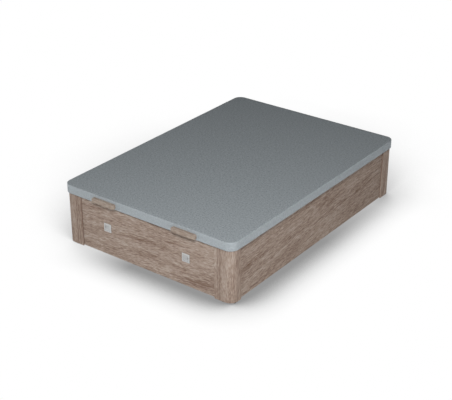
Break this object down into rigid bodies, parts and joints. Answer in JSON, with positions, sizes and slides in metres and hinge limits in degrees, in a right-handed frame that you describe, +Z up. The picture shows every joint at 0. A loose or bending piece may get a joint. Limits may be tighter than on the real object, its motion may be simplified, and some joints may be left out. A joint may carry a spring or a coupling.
{
  "type": "ottoman bed",
  "caption": "Low double ottoman bed: wood-grain storage box with rounded corner posts under a padded mesh lid that lifts at the foot on head-end hinges and gas struts.",
  "frame": {"origin": "on the floor, under the middle of the bed's overall box", "axes": "+X to the right seen from the foot end, +Y towards the head end, +Z up"},
  "size_m": [1.35, 1.92, 0.42],
  "materials": {
    "grey_oak": "matt laminate with grey oak grain along the panel",
    "grey_oak_upright": "matt laminate with grey oak grain upright",
    "oak_handle": "matt grey oak",
    "mesh_fabric": "grey three-dimensional spacer mesh",
    "foam": "thin pale foam",
    "fibre_board": "plain fibre board",
    "black_steel": "black powder coat",
    "zinc_steel": "zinc plated",
    "strut_black": "black satin paint",
    "strut_seal": "black moulded plastic",
    "strut_chrome": "hard chrome",
    "vent_metal": "satin aluminium",
    "glide_plastic": "black moulded plastic",
    "bumper_rubber": "black rubber",
    "pine": "planed pine",
    "floor_laminate": "pale melamine board"
  },
  "bodies": {
    "base": {"base_pivot_bolts": "zinc_steel", "bearer_feet": "glide_plastic", "cleat_screws": "zinc_steel", "corner_brackets": "zinc_steel", "corner_screws": "zinc_steel", "floor_bearers": "pine", "floor_board_1": "floor_laminate", "floor_board_2": "floor_laminate", "floor_board_3": "floor_laminate", "foot_floor_cleat": "pine", "foot_left_post": "grey_oak_upright", "foot_panel": "grey_oak", "foot_right_post": "grey_oak_upright", "head_floor_cleat": "pine", "head_left_post": "grey_oak_upright", "head_panel": "grey_oak", "head_right_post": "grey_oak_upright", "hinge_base_leaves": "zinc_steel", "hinge_base_screws": "zinc_steel", "hinge_pins": "zinc_steel", "left_floor_cleat": "pine", "left_side_panel": "grey_oak", "left_vent_frame": "vent_metal", "left_vent_grille": "vent_metal", "lid_bumpers": "bumper_rubber", "post_glides": "glide_plastic", "right_floor_cleat": "pine", "right_side_panel": "grey_oak", "right_vent_frame": "vent_metal", "right_vent_grille": "vent_metal", "strut_base_brackets": "zinc_steel", "strut_base_screws": "zinc_steel"},
    "lid": {"cross_rails": "black_steel", "foot_rail": "black_steel", "handle_screws": "zinc_steel", "head_rail": "black_steel", "hinge_lid_leaves": "zinc_steel", "hinge_lid_screws": "zinc_steel", "left_handle": "oak_handle", "left_rail": "black_steel", "lid_board": "fibre_board", "lid_cover": "mesh_fabric", "lid_pad": "foam", "lid_pivot_bolts": "zinc_steel", "rail_corners": "black_steel", "right_handle": "oak_handle", "right_rail": "black_steel", "strut_lid_bolts": "zinc_steel", "strut_lid_brackets": "zinc_steel"},
    "left_strut_tube": {"left_strut_cylinder": "strut_black", "left_strut_gland": "strut_seal"},
    "left_strut_plunger": {"left_strut_rod": "strut_chrome", "left_strut_piston": "strut_seal"},
    "right_strut_tube": {"right_strut_cylinder": "strut_black", "right_strut_gland": "strut_seal"},
    "right_strut_plunger": {"right_strut_rod": "strut_chrome", "right_strut_piston": "strut_seal"}
  },
  "joints": [
    {"name": "lid_hinge", "type": "hinge", "parent": "base", "child": "lid", "pos_m": [0, 0.952, 0.3555], "axis": [-1, 0, 0], "range_deg": [0, 40]},
    {"name": "left_strut_lower_pivot", "type": "hinge", "parent": "base", "child": "left_strut_tube", "pos_m": [-0.615, 0.76813, 0.065], "axis": [-1, 0, 0], "range_deg": [0, 20]},
    {"name": "left_strut_upper_pivot", "type": "hinge", "parent": "lid", "child": "left_strut_plunger", "pos_m": [-0.615, 0.60891, 0.3335], "axis": [-1, 0, 0], "range_deg": [-20, 0]},
    {"name": "right_strut_lower_pivot", "type": "hinge", "parent": "base", "child": "right_strut_tube", "pos_m": [0.615, 0.76813, 0.065], "axis": [-1, 0, 0], "range_deg": [0, 20]},
    {"name": "right_strut_upper_pivot", "type": "hinge", "parent": "lid", "child": "right_strut_plunger", "pos_m": [0.615, 0.60891, 0.3335], "axis": [-1, 0, 0], "range_deg": [-20, 0]}
  ],
  "couplings": [
    {"joint": "left_strut_lower_pivot", "follows": "lid_hinge", "ratio": 0.5},
    {"joint": "left_strut_upper_pivot", "follows": "lid_hinge", "ratio": -0.5},
    {"joint": "right_strut_lower_pivot", "follows": "lid_hinge", "ratio": 0.5},
    {"joint": "right_strut_upper_pivot", "follows": "lid_hinge", "ratio": -0.5}
  ]
}
